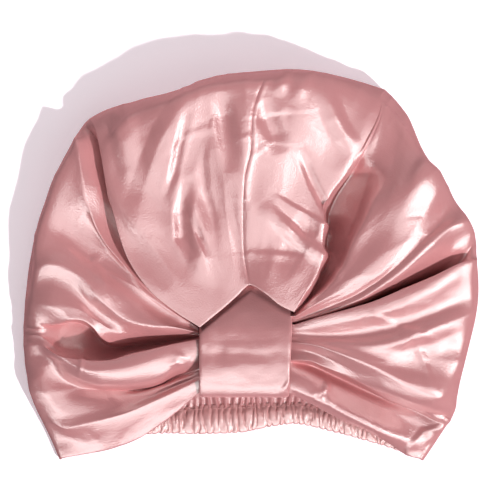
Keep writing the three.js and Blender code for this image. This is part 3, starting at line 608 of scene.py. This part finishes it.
def creased(grid):
    """The crown with its creases pressed in, all over the front and fading out round the rim."""
    first, last = CROWN_STEPS["under"], CROWN_STEPS["under"] + CROWN_STEPS["front"]
    front = grid[:, first:last]
    plan = front[..., :2].reshape(-1, 2)
    slack = crease_lift(plan, small_creases(plan)) + slack_waves(plan) + crumples(plan)
    slack = slack.reshape(front.shape[:2])
    for start, fold in zip(COLUMN_STARTS, FOLDS):
        if fold.crisp >= CALM["crisp"]:
            slack *= 1 - np.exp(-((np.arange(len(grid)) - start) / CALM["columns"])**2)[:, None]
    lift = crease_lift(plan, CREASES + seam_creases()).reshape(front.shape[:2]) + slack
    rows = np.arange(last - first)
    share = RIM_WRINKLES["share"]
    near_rim = np.clip(rows / len(rows) / share + 1 - 1 / share, 0, 1)
    lift += rim_wrinkles(plan).reshape(front.shape[:2]) * near_rim
    ease = np.clip(rows / CREASE_EASE, 0, 1) * np.clip((last - first - rows) / CREASE_EASE, 0, 1)
    result = grid.copy()
    result[:, first:last] += grid_normals(grid)[:, first:last] * (lift * ease)[..., None]
    return result


def puckered_back(grid):
    """The back panel drawn up into small puckers where it is sewn to the casing."""
    facts = PUCKERS
    back = grid[:, -CROWN_STEPS["back"]:]
    away = np.linalg.norm(back - grid[:, -1:], axis=-1)
    x = back[..., 0]
    wander = facts["wander"] * np.sin(x / facts["wander_length"])
    slant = away * np.sin(x / facts["slant_length"]) / facts["slant"]
    phase = 2 * math.pi * x / facts["pitch"] + wander + slant
    result = grid.copy()
    height = facts["height"] * (0.5 + 0.5 * np.sin(phase)) * np.exp(-away / facts["reach"])
    result[:, -CROWN_STEPS["back"]:, 2] += height
    return result


def with_side_hems(grid):
    """The crown with the front edges of both panels turned under as hems."""
    up = grid_normals(grid)
    hems = []
    columns = HEM_TURN["columns"]
    for edge, inner in ((0, columns), (-1, -1 - columns)):
        heading = grid[inner] - grid[edge]
        heading = heading / np.maximum(np.linalg.norm(heading, axis=-1, keepdims=True), 1e-6)
        hems.append(turned_hem(grid[edge], heading, up[edge]))
    result = np.concatenate([hems[0], grid, hems[1][::-1]])
    result[..., 2] = np.maximum(result[..., 2], 0)
    return result


def placed(name, data):
    thing = bpy.data.objects.new(name, data)
    bpy.context.scene.collection.objects.link(thing)
    return thing


def cloth_object(name, grid, across, along, material, keep=None):
    """A sheet of cloth from a grid of points in millimetres, with its own cloth coordinates."""
    columns, rows = grid.shape[:2]
    index = np.arange(columns * rows).reshape(columns, rows)
    cells = np.stack([index[:-1, :-1], index[1:, :-1], index[1:, 1:], index[:-1, 1:]], axis=-1)
    used, faces = np.unique(cells if keep is None else cells[keep], return_inverse=True)
    faces = faces.reshape(-1, 4)
    mesh = bpy.data.meshes.new(name)
    mesh.from_pydata((grid.reshape(-1, 3)[used] * MM).tolist(), [], faces.tolist())
    layer = mesh.uv_layers.new(name="cloth")
    cloth_uv = np.stack(np.meshgrid(across, along, indexing="ij"), axis=-1)
    flat_uv = (cloth_uv.reshape(-1, 2)[used] * MM)[faces.reshape(-1)]
    layer.data.foreach_set("uv", flat_uv.reshape(-1))
    mesh.polygons.foreach_set("use_smooth", [True] * len(mesh.polygons))
    mesh.materials.append(material)
    mesh.validate()
    return placed(name, mesh)


CROWN = with_side_hems(puckered_back(creased(SMOOTH_CROWN)))
CROWN_ROW = 60  # the row along which the crown's cloth is measured
ACROSS = running_length(CROWN[:, CROWN_ROW])
ALONG = np.concatenate([[0], np.cumsum(np.linalg.norm(np.diff(CROWN, axis=1), axis=-1).mean(axis=0))])
SEAM_COLUMN = HEM_TURN["steps"] + COLUMN_STARTS[SEAM_FOLD]
CROWN_SATIN = satin("crown_satin", SATIN_DEEP, SATIN_PALE)


def crown_panel(name, first, last, seam_side):
    """One panel of the crown, lapped a little over the other one along the seam."""
    grid = CROWN[first:last + 1].copy()
    grid[SEAM_COLUMN - first, :, 0] -= SEAM["lap"] * seam_side
    columns = np.arange(first, last) - HEM_TURN["steps"]
    lip, flap = CROWN_FOLDS
    shoulder = ((columns >= COLUMN_STARTS[lip - 1]) & (columns < COLUMN_STARTS[lip])
                | (columns >= COLUMN_STARTS[flap]) & (columns < COLUMN_STARTS[flap + 1]))
    keep = np.ones((last - first, grid.shape[1] - 1), bool)
    keep[shoulder, :CROWN_STEPS["under"]] = False
    panel = cloth_object(name, grid, ACROSS[first:last + 1], ALONG, CROWN_SATIN, keep)
    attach(panel, "root")
    return panel


crown_left = crown_panel("crown_left_satin", 0, SEAM_COLUMN, -1)
crown_right = crown_panel("crown_right_satin", SEAM_COLUMN, len(CROWN) - 1, 1)
for panel, node, cut, cut_area in ((crown_left, "crown_left", (0.38, 0.41), 0.081),
                                   (crown_right, "crown_right", (0.4, 0.44), 0.086)):
    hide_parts(node)

# Knot band
# A tab of doubled satin wrapped round the gathered front hem and sewn shut behind. It lies flat
# in front, its long edges are turned in and it rolls under at its lower end.
BAND_SIDES = dict(left=-33.4, right_top=28.4, right_low=24.9, top=-4.0, low=-85.6)
# y and height along the band's loop, from its lower roll over the front to the hidden back
BAND_LOOP = np.array([
    (-78, 21), (-84, 22.5), (-85.7, 27), (-85.8, 32), (-84.4, 35.4), (-79.5, 38.8), (-73, 41),
    (-65, 41.8), (-57, 41.2), (-50, 41), (-42, 39), (-30, 35), (-16, 28.6), (-8, 25),
    (-4, 21.8), (-8, 19), (-30, 19.6), (-56, 20.5), (-78, 21),
])
BAND_EDGE = dict(radius=0.8, depth=5.0, drop=0.7, round=2.5)
BAND_CREASES = [
    Crease("upper crease", [(-31, -48, 0), (-16, -49.5, -0.7), (6, -48.5, -0.5), (28, -47, -0.2)], 5, 6),
    Crease("lower crease", [(-31, -57.5, 0), (-14, -57, -0.5), (4, -59, -0.6), (23, -60, 0)], 4, 5),
    Crease("roll crease", [(-31, -74, 0), (-10, -76.5, -0.4), (12, -75, -0.6), (23, -73, 0)], 5, 4),
    Crease("soft fold", [(-30, -64, 0), (-12, -67, 0.7), (6, -66, 0.4), (18, -69, 0)], 6, 6, True),
    Crease("slanting fold", [(-4, -40, 0), (8, -52, 0.7), (22, -66, 0)], 7, 6, True),
    Crease("left dent", [(-24, -40, 0), (-20, -54, -0.7), (-22, -70, 0)], 6, 7, True),
    Crease("under left edge", [(-35, -41.5, -3.5), (-0.5, -12.6, -3.5)], 9, 3.2),
    Crease("under right edge", [(-0.5, -12.6, -3.5), (30, -31.6, -3.5)], 9, 3.2),
    Crease("corner notch", [(25.6, -71, 0.4), (24.5, -76, 1.3), (20.5, -82, 0.6)], 2.5, 2),
]
BAND_FRONT = 27.0  # the band's front is what lies above this height
BAND_MOTTLE = dict(seed=2, layers=[(16, 9, 0.5), (7, 5, 0.18)])
BAND_STEPS = dict(across=64, edge=6, loop=9)
BAND_MEASURED = dict(column=40, row=60)  # where the band's cloth is measured


def band_grid():
    """The band as columns across it, each a loop of points, with both long edges turned in."""
    edge, steps, sides = BAND_EDGE, BAND_STEPS, BAND_SIDES
    loop = smooth_run(BAND_LOOP, [steps["loop"]] * (len(BAND_LOOP) - 1))
    turn = np.linspace(0, math.pi, steps["edge"], endpoint=False)
    inset = np.concatenate([[edge["depth"], edge["depth"] / 2], edge["radius"] * (1 - np.sin(turn))])
    sunk = np.concatenate([[2 * edge["radius"]] * 2, edge["radius"] * (1 + np.cos(turn))])
    ahead = np.gradient(loop, axis=0)
    outward = np.stack([-ahead[:, 1], ahead[:, 0]], axis=-1)
    outward = outward / np.linalg.norm(outward, axis=-1, keepdims=True)
    down = (sides["top"] - loop[:, 0]) / (sides["top"] - sides["low"])
    left = np.full(len(loop), sides["left"])
    right = sides["right_top"] + down * (sides["right_low"] - sides["right_top"])
    columns = [(left + side_inset, side_sunk) for side_inset, side_sunk in zip(inset, sunk)]
    for share in np.linspace(0, 1, steps["across"]):
        columns.append((left + edge["radius"] + share * (right - left - 2 * edge["radius"]), 0.0))
    columns += [(right - side_inset, side_sunk) for side_inset, side_sunk in zip(inset[::-1], sunk[::-1])]
    grid = []
    for x, sink in columns:
        nearest = np.minimum(x - left, right - x)
        fall = edge["drop"] * np.clip(1 - nearest / edge["round"], 0, 1)**2
        place = loop - outward * (sink + fall)[:, None]
        grid.append(np.stack([x, place[:, 0], place[:, 1]], axis=-1))
    return np.array(grid)


def creased_band(grid):
    """The band with its creases and a soft mottle on its front."""
    pick = np.random.default_rng(BAND_MOTTLE["seed"])
    front = grid[..., 2] > BAND_FRONT
    plan = grid[..., :2].reshape(-1, 2)
    lift = crease_lift(plan, BAND_CREASES)
    for width, length, height in BAND_MOTTLE["layers"]:
        lift += height * lattice_noise(pick, plan[:, 0] / width, plan[:, 1] / length)
    result = grid.copy()
    result[..., 2] += lift.reshape(front.shape) * front
    return result


BAND = creased_band(band_grid())
KNOT_SATIN = satin("knot_satin", SATIN_DEEP, SATIN_PALE)
knot_band = cloth_object("knot_band_satin", BAND, running_length(BAND[:, BAND_MEASURED["row"]]),
                         running_length(BAND[BAND_MEASURED["column"]]), KNOT_SATIN)
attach(knot_band, "root")
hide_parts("knot_band")

# Elastic casing
# A tube of the same satin sewn along the back edge of the mouth with a flat elastic pulled
# through it, so that it draws up into close, irregular gathers with a small frill. Its two pinks
# are painted paler than the crown's, as painted light for the brighter light on its puffs.
CASING_HEIGHT = 4.6
CASING_ENDS = dict(length=40.0, height=0.6)  # over this length the ends get as low as this share
CASING_FLATNESS = 0.7
SEWN_EDGE = dict(height=0.3, slope=2.5)  # share of the height at the sewn edge, and how soon it is full
UNDERSIDE_SLACK = 0.7  # how far down the underside the gathers still reach
CASING_STEPS = dict(along=760, ring=30, stitch_line=160)
CASING_GATHERS = {"Gathers": 50.0, "Depth": 1.7 * MM, "Wander": 2.6, "Seed": 4.0}
GATHER_SWING = dict(stretch_along=0.6, stretch_across=1.6, shift=0.0)
GATHER_SIZE = dict(stretch_along=0.35, stretch_across=2.2, shift=7.0)
PUFF = dict(power=0.4, level=0.72, uneven=2.2)
STITCHES = dict(across=0.12, pitch=3.2, length=2.2, thick=0.45, inset=4, height=0.46, rise=0.3)
STITCH_PINCH = dict(width=0.06, hold=0.8)
# painted light: the casing's pinks are painted paler than the crown's satin to stand in for the brighter
# light on its puffs
CASING_DEEP_PAINTED_LIGHTER = (0.66, 0.31, 0.305, 1.0)
CASING_PALE_PAINTED_LIGHTER = (0.76, 0.41, 0.405, 1.0)


def casing_height(x):
    inward = np.minimum(x - CASING_EDGE[0, 0], CASING_EDGE[-1, 0] - x) / CASING_ENDS["length"]
    lowest = CASING_ENDS["height"]
    return CASING_HEIGHT * (lowest + (1 - lowest) * np.clip(inward, 0, 1))


def flattened(wave):
    return np.sign(wave) * np.abs(wave)**CASING_FLATNESS


def casing_mesh(name):
    """The casing without its gathers: a flat tube, with its own coordinates kept as attributes."""
    columns, ring = CASING_STEPS["along"], CASING_STEPS["ring"]
    x = np.linspace(CASING_EDGE[0, 0], CASING_EDGE[-1, 0], columns)
    high, low = casing_y(x, STITCHED), casing_y(x, FRILLED)
    turn = np.linspace(0, 2 * math.pi, ring, endpoint=False)
    flat_cos, flat_sin = flattened(np.cos(turn)), flattened(np.sin(turn))
    across = (1 - flat_cos) / 2
    y = (high + low)[:, None] / 2 + (high - low)[:, None] / 2 * flat_cos
    flush = SEWN_EDGE["height"] + (1 - SEWN_EDGE["height"]) * np.clip(SEWN_EDGE["slope"] * across, 0, 1)
    z = casing_height(x)[:, None] / 2 * (1 + flat_sin) * flush
    points = np.stack([np.repeat(x[:, None], ring, axis=1), y, z], axis=-1)
    index = np.arange(columns * ring).reshape(columns, ring)
    ahead = np.roll(index, -1, axis=1)
    faces = np.stack([index[:-1], ahead[:-1], ahead[1:], index[1:]], axis=-1).reshape(-1, 4).tolist()
    faces += [index[0, ::-1].tolist(), index[-1].tolist()]
    mesh = bpy.data.meshes.new(name)
    mesh.from_pydata((points.reshape(-1, 3) * MM).tolist(), [], faces)
    along = running_length(np.stack([x, low], axis=-1))
    pinch = np.exp(-((across - STITCHES["across"]) / STITCH_PINCH["width"])**2) * (flat_sin > 0)
    loose = np.clip(flat_sin + UNDERSIDE_SLACK, 0, 1) * (1 - STITCH_PINCH["hold"] * pinch)
    values = {
        "along": np.repeat(along / along[-1], ring),
        "across": np.tile(across, columns),
        "loose": np.tile(loose, columns),
    }
    for key, value in values.items():
        mesh.attributes.new(key, "FLOAT", "POINT").data.foreach_set("value", value)
    girth = running_length(points[columns // 2])
    layer = mesh.uv_layers.new(name="cloth")
    corner = np.zeros(len(mesh.loops), int)
    mesh.loops.foreach_get("vertex_index", corner)
    uv = np.stack([along[corner // ring], girth[corner % ring]], axis=-1) * MM
    layer.data.foreach_set("uv", uv.reshape(-1))
    mesh.polygons.foreach_set("use_smooth", [True] * len(mesh.polygons))
    return mesh


def node_tree(name, inputs):
    """An empty geometry tree with named inputs, and the sockets at its two ends."""
    tree = bpy.data.node_groups.new(name, "GeometryNodeTree")
    add_sockets(tree, "INPUT", {"Geometry": "Geometry", **inputs})
    add_sockets(tree, "OUTPUT", {"Geometry": "Geometry"})
    return tree, tree.nodes.new("NodeGroupInput").outputs, tree.nodes.new("NodeGroupOutput").inputs


def finish_tree(tree, geometry, material, leave):
    realize = tree.nodes.new("GeometryNodeRealizeInstances")
    paint = tree.nodes.new("GeometryNodeSetMaterial")
    tree.links.new(geometry, realize.inputs["Geometry"])
    tree.links.new(realize.outputs["Geometry"], paint.inputs["Geometry"])
    tree.links.new(material, paint.inputs["Material"])
    tree.links.new(paint.outputs["Geometry"], leave)


def attribute(tree, name):
    node = tree.nodes.new("GeometryNodeInputNamedAttribute")
    node.data_type = "FLOAT"
    node.inputs["Name"].default_value = name
    return node.outputs["Attribute"]


def gathers_tree():
    """Pushes the tube out into rounded puffs with narrow slits between them."""
    tree, enter, leave = node_tree("casing_gathers", {
        "Gathers": "Float", "Depth": "Float", "Wander": "Float", "Seed": "Float", "Satin": "Material"})
    nodes, links = tree.nodes, tree.links
    along, across, loose = (attribute(tree, key) for key in ("along", "across", "loose"))
    count = mathematics(tree, "MULTIPLY", along, enter["Gathers"])

    def wandering(stretch_along, stretch_across, shift):
        place = nodes.new("ShaderNodeCombineXYZ")
        links.new(mathematics(tree, "MULTIPLY", count, stretch_along), place.inputs["X"])
        links.new(mathematics(tree, "MULTIPLY", across, stretch_across), place.inputs["Y"])
        links.new(mathematics(tree, "ADD", enter["Seed"], shift), place.inputs["Z"])
        return mathematics(tree, "SUBTRACT", soft_noise(tree, place.outputs["Vector"], 1.0, 1.0), 0.5)

    swing = mathematics(tree, "MULTIPLY", wandering(**GATHER_SWING), enter["Wander"])
    phase = mathematics(tree, "MULTIPLY", mathematics(tree, "ADD", count, swing), math.pi)
    wave = mathematics(tree, "ABSOLUTE", mathematics(tree, "SINE", phase))
    puff = mathematics(tree, "SUBTRACT", mathematics(tree, "POWER", wave, PUFF["power"]), PUFF["level"])
    uneven = mathematics(tree, "MULTIPLY_ADD", wandering(**GATHER_SIZE), PUFF["uneven"], 1.0)
    size = mathematics(tree, "MULTIPLY", mathematics(tree, "MULTIPLY", puff, uneven), loose)
    push = nodes.new("ShaderNodeVectorMath")
    push.operation = "SCALE"
    links.new(nodes.new("GeometryNodeInputNormal").outputs["Normal"], push.inputs["Vector"])
    links.new(mathematics(tree, "MULTIPLY", size, enter["Depth"]), push.inputs["Scale"])
    move = nodes.new("GeometryNodeSetPosition")
    links.new(enter["Geometry"], move.inputs["Geometry"])
    links.new(push.outputs["Vector"], move.inputs["Offset"])
    finish_tree(tree, move.outputs["Geometry"], enter["Satin"], leave["Geometry"])
    return tree


def grown(name, mesh, tree, values):
    """An object whose mesh is what the geometry tree makes of the given one."""
    source = placed(name, mesh)
    modifier = source.modifiers.new(tree.name, "NODES")
    modifier.node_group = tree
    for item in tree.interface.items_tree:
        if item.in_out == "INPUT" and item.name in values:
            modifier[item.identifier] = values[item.name]
    depsgraph = bpy.context.evaluated_depsgraph_get()
    baked = bpy.data.meshes.new_from_object(source.evaluated_get(depsgraph))
    source.modifiers.remove(modifier)
    source.data = baked
    return source


def stitch_line(name):
    """The line along the casing's upper edge that its stitches follow."""
    first, last = CASING_EDGE[0, 0] + STITCHES["inset"], CASING_EDGE[-1, 0] - STITCHES["inset"]
    x = np.linspace(first, last, CASING_STEPS["stitch_line"])
    high, low = casing_y(x, STITCHED), casing_y(x, FRILLED)
    y = high - (high - low) * STITCHES["across"]
    z = STITCHES["height"] * casing_height(x) + STITCHES["rise"]
    mesh = bpy.data.meshes.new(name)
    edges = [(i, i + 1) for i in range(len(x) - 1)]
    mesh.from_pydata((np.stack([x, y, z], axis=-1) * MM).tolist(), edges, [])
    return mesh


def stitches_tree():
    """Sets a small rounded stitch at every pitch along a line."""
    tree, enter, leave = node_tree("casing_stitches", {
        "Pitch": "Float", "Length": "Float", "Thickness": "Float", "Thread": "Material"})
    nodes, links = tree.nodes, tree.links
    line = nodes.new("GeometryNodeMeshToCurve")
    places = nodes.new("GeometryNodeResampleCurve")
    places.mode = "LENGTH"
    stitch = nodes.new("GeometryNodeMeshUVSphere")
    stitch.inputs["Segments"].default_value = 8
    stitch.inputs["Rings"].default_value = 5
    stitch.inputs["Radius"].default_value = 0.5
    size = nodes.new("ShaderNodeCombineXYZ")
    ahead = nodes.new("GeometryNodeInputTangent")
    turn = nodes.new("FunctionNodeAlignRotationToVector")
    turn.axis = "X"
    copies = nodes.new("GeometryNodeInstanceOnPoints")
    links.new(enter["Geometry"], line.inputs["Mesh"])
    links.new(line.outputs["Curve"], places.inputs["Curve"])
    links.new(enter["Pitch"], places.inputs["Length"])
    links.new(enter["Length"], size.inputs["X"])
    links.new(enter["Thickness"], size.inputs["Y"])
    links.new(enter["Thickness"], size.inputs["Z"])
    links.new(ahead.outputs["Tangent"], turn.inputs["Vector"])
    links.new(places.outputs["Curve"], copies.inputs["Points"])
    links.new(stitch.outputs["Mesh"], copies.inputs["Instance"])
    links.new(turn.outputs["Rotation"], copies.inputs["Rotation"])
    links.new(size.outputs["Vector"], copies.inputs["Scale"])
    finish_tree(tree, copies.outputs["Instances"], enter["Thread"], leave["Geometry"])
    return tree


# the casing's satin with painted light: its paler pinks stand in for the brighter light on the puffs
CASING_SATIN_PAINTED_LIGHTER = satin("casing_satin", CASING_DEEP_PAINTED_LIGHTER, CASING_PALE_PAINTED_LIGHTER)
casing = grown("elastic_casing", casing_mesh("elastic_casing"), gathers_tree(),
               {**CASING_GATHERS, "Satin": CASING_SATIN_PAINTED_LIGHTER})
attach(casing, "root")
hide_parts("elastic_band")

thread = bpy.data.materials.new("casing_thread")
thread.use_nodes = True
thread_shader = thread.node_tree.nodes["Principled BSDF"]
thread_shader.inputs["Base Color"].default_value = (0.6, 0.3, 0.3, 1.0)
thread_shader.inputs["Roughness"].default_value = 0.5
stitches = grown("casing_stitches", stitch_line("casing_stitches"), stitches_tree(), {
    "Pitch": STITCHES["pitch"] * MM, "Length": STITCHES["length"] * MM,
    "Thickness": STITCHES["thick"] * MM, "Thread": thread})
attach(stitches, "root")
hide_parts("elastic_band")

# Floor, light and camera
# A plain white table top, a small key light from the lower right, a broad fill and a weak fill
# from behind. Three white reflectors show only in the satin's sheen. The camera looks straight down.
FLOOR_HALF = 3.0
FLOOR_LEVEL = -0.0004
floor_mesh = bpy.data.meshes.new("floor")
floor_mesh.from_pydata([(x * FLOOR_HALF, y * FLOOR_HALF, FLOOR_LEVEL)
                        for x, y in ((-1, -1), (1, -1), (1, 1), (-1, 1))], [], [(0, 1, 2, 3)])
floor = placed("floor", floor_mesh)
paper = bpy.data.materials.new("white_paper")
paper.use_nodes = True
paper_shader = paper.node_tree.nodes["Principled BSDF"]
paper_shader.inputs["Base Color"].default_value = (0.93, 0.87, 0.91, 1)
paper_shader.inputs["Roughness"].default_value = 0.9
paper_shader.inputs["Emission Color"].default_value = (1.0, 0.86, 0.94, 1)
paper_shader.inputs["Emission Strength"].default_value = 0.28
floor_mesh.materials.append(paper)
floor.visible_glossy = False

world = bpy.data.worlds.new("studio")
world.use_nodes = True
world.node_tree.nodes["Background"].inputs["Color"].default_value = (1.0, 0.985, 0.99, 1)
world.node_tree.nodes["Background"].inputs["Strength"].default_value = 0.16
world.cycles_visibility.glossy = False
bpy.context.scene.world = world

key = placed("key_light", bpy.data.lights.new("key_light", "SUN"))
key.data.energy = 3.3
key.data.angle = math.radians(2)
key.rotation_euler = (math.radians(42), 0, math.radians(45))
key.visible_glossy = False


def light_panel(name, place, size, energy, diffuse=True, glossy=True):
    """A rectangular light that faces the turban and stays out of the picture."""
    lamp = placed(name, bpy.data.lights.new(name, "AREA"))
    lamp.data.shape = "RECTANGLE"
    lamp.data.size, lamp.data.size_y = size
    lamp.data.energy = energy
    lamp.location = place
    lamp.rotation_euler = Vector(place).to_track_quat("Z", "Y").to_euler()
    lamp.visible_camera = False
    lamp.visible_diffuse = diffuse
    lamp.visible_glossy = glossy


light_panel("fill_light", (0.5, -0.76, 2.0), (3.2, 1.25), 10, glossy=False)
light_panel("high_reflector", (0.3, -0.65, 2.0), (2.7, 1.4), 14, diffuse=False)
light_panel("low_reflector", (0.0, -1.6, 1.15), (5.5, 1.1), 43, diffuse=False)
light_panel("right_reflector", (1.5, -0.7, 1.5), (1.2, 1.2), 14, diffuse=False)
light_panel("back_fill", (-0.3, 1.9, 0.8), (2.6, 1.2), 26, glossy=False)

CAMERA_PLACE = (-0.5 * MM, 10 * MM, 2.5)
PICTURE_WIDTH = 0.325  # what the picture spans at PICTURE_HEIGHT
PICTURE_HEIGHT = 0.035
camera = placed("camera", bpy.data.cameras.new("camera"))
camera.location = CAMERA_PLACE
camera.data.lens = camera.data.sensor_width * (CAMERA_PLACE[2] - PICTURE_HEIGHT) / PICTURE_WIDTH
camera.data.clip_end = 50
bpy.context.scene.camera = camera
bpy.context.scene.view_settings.view_transform = "Standard"
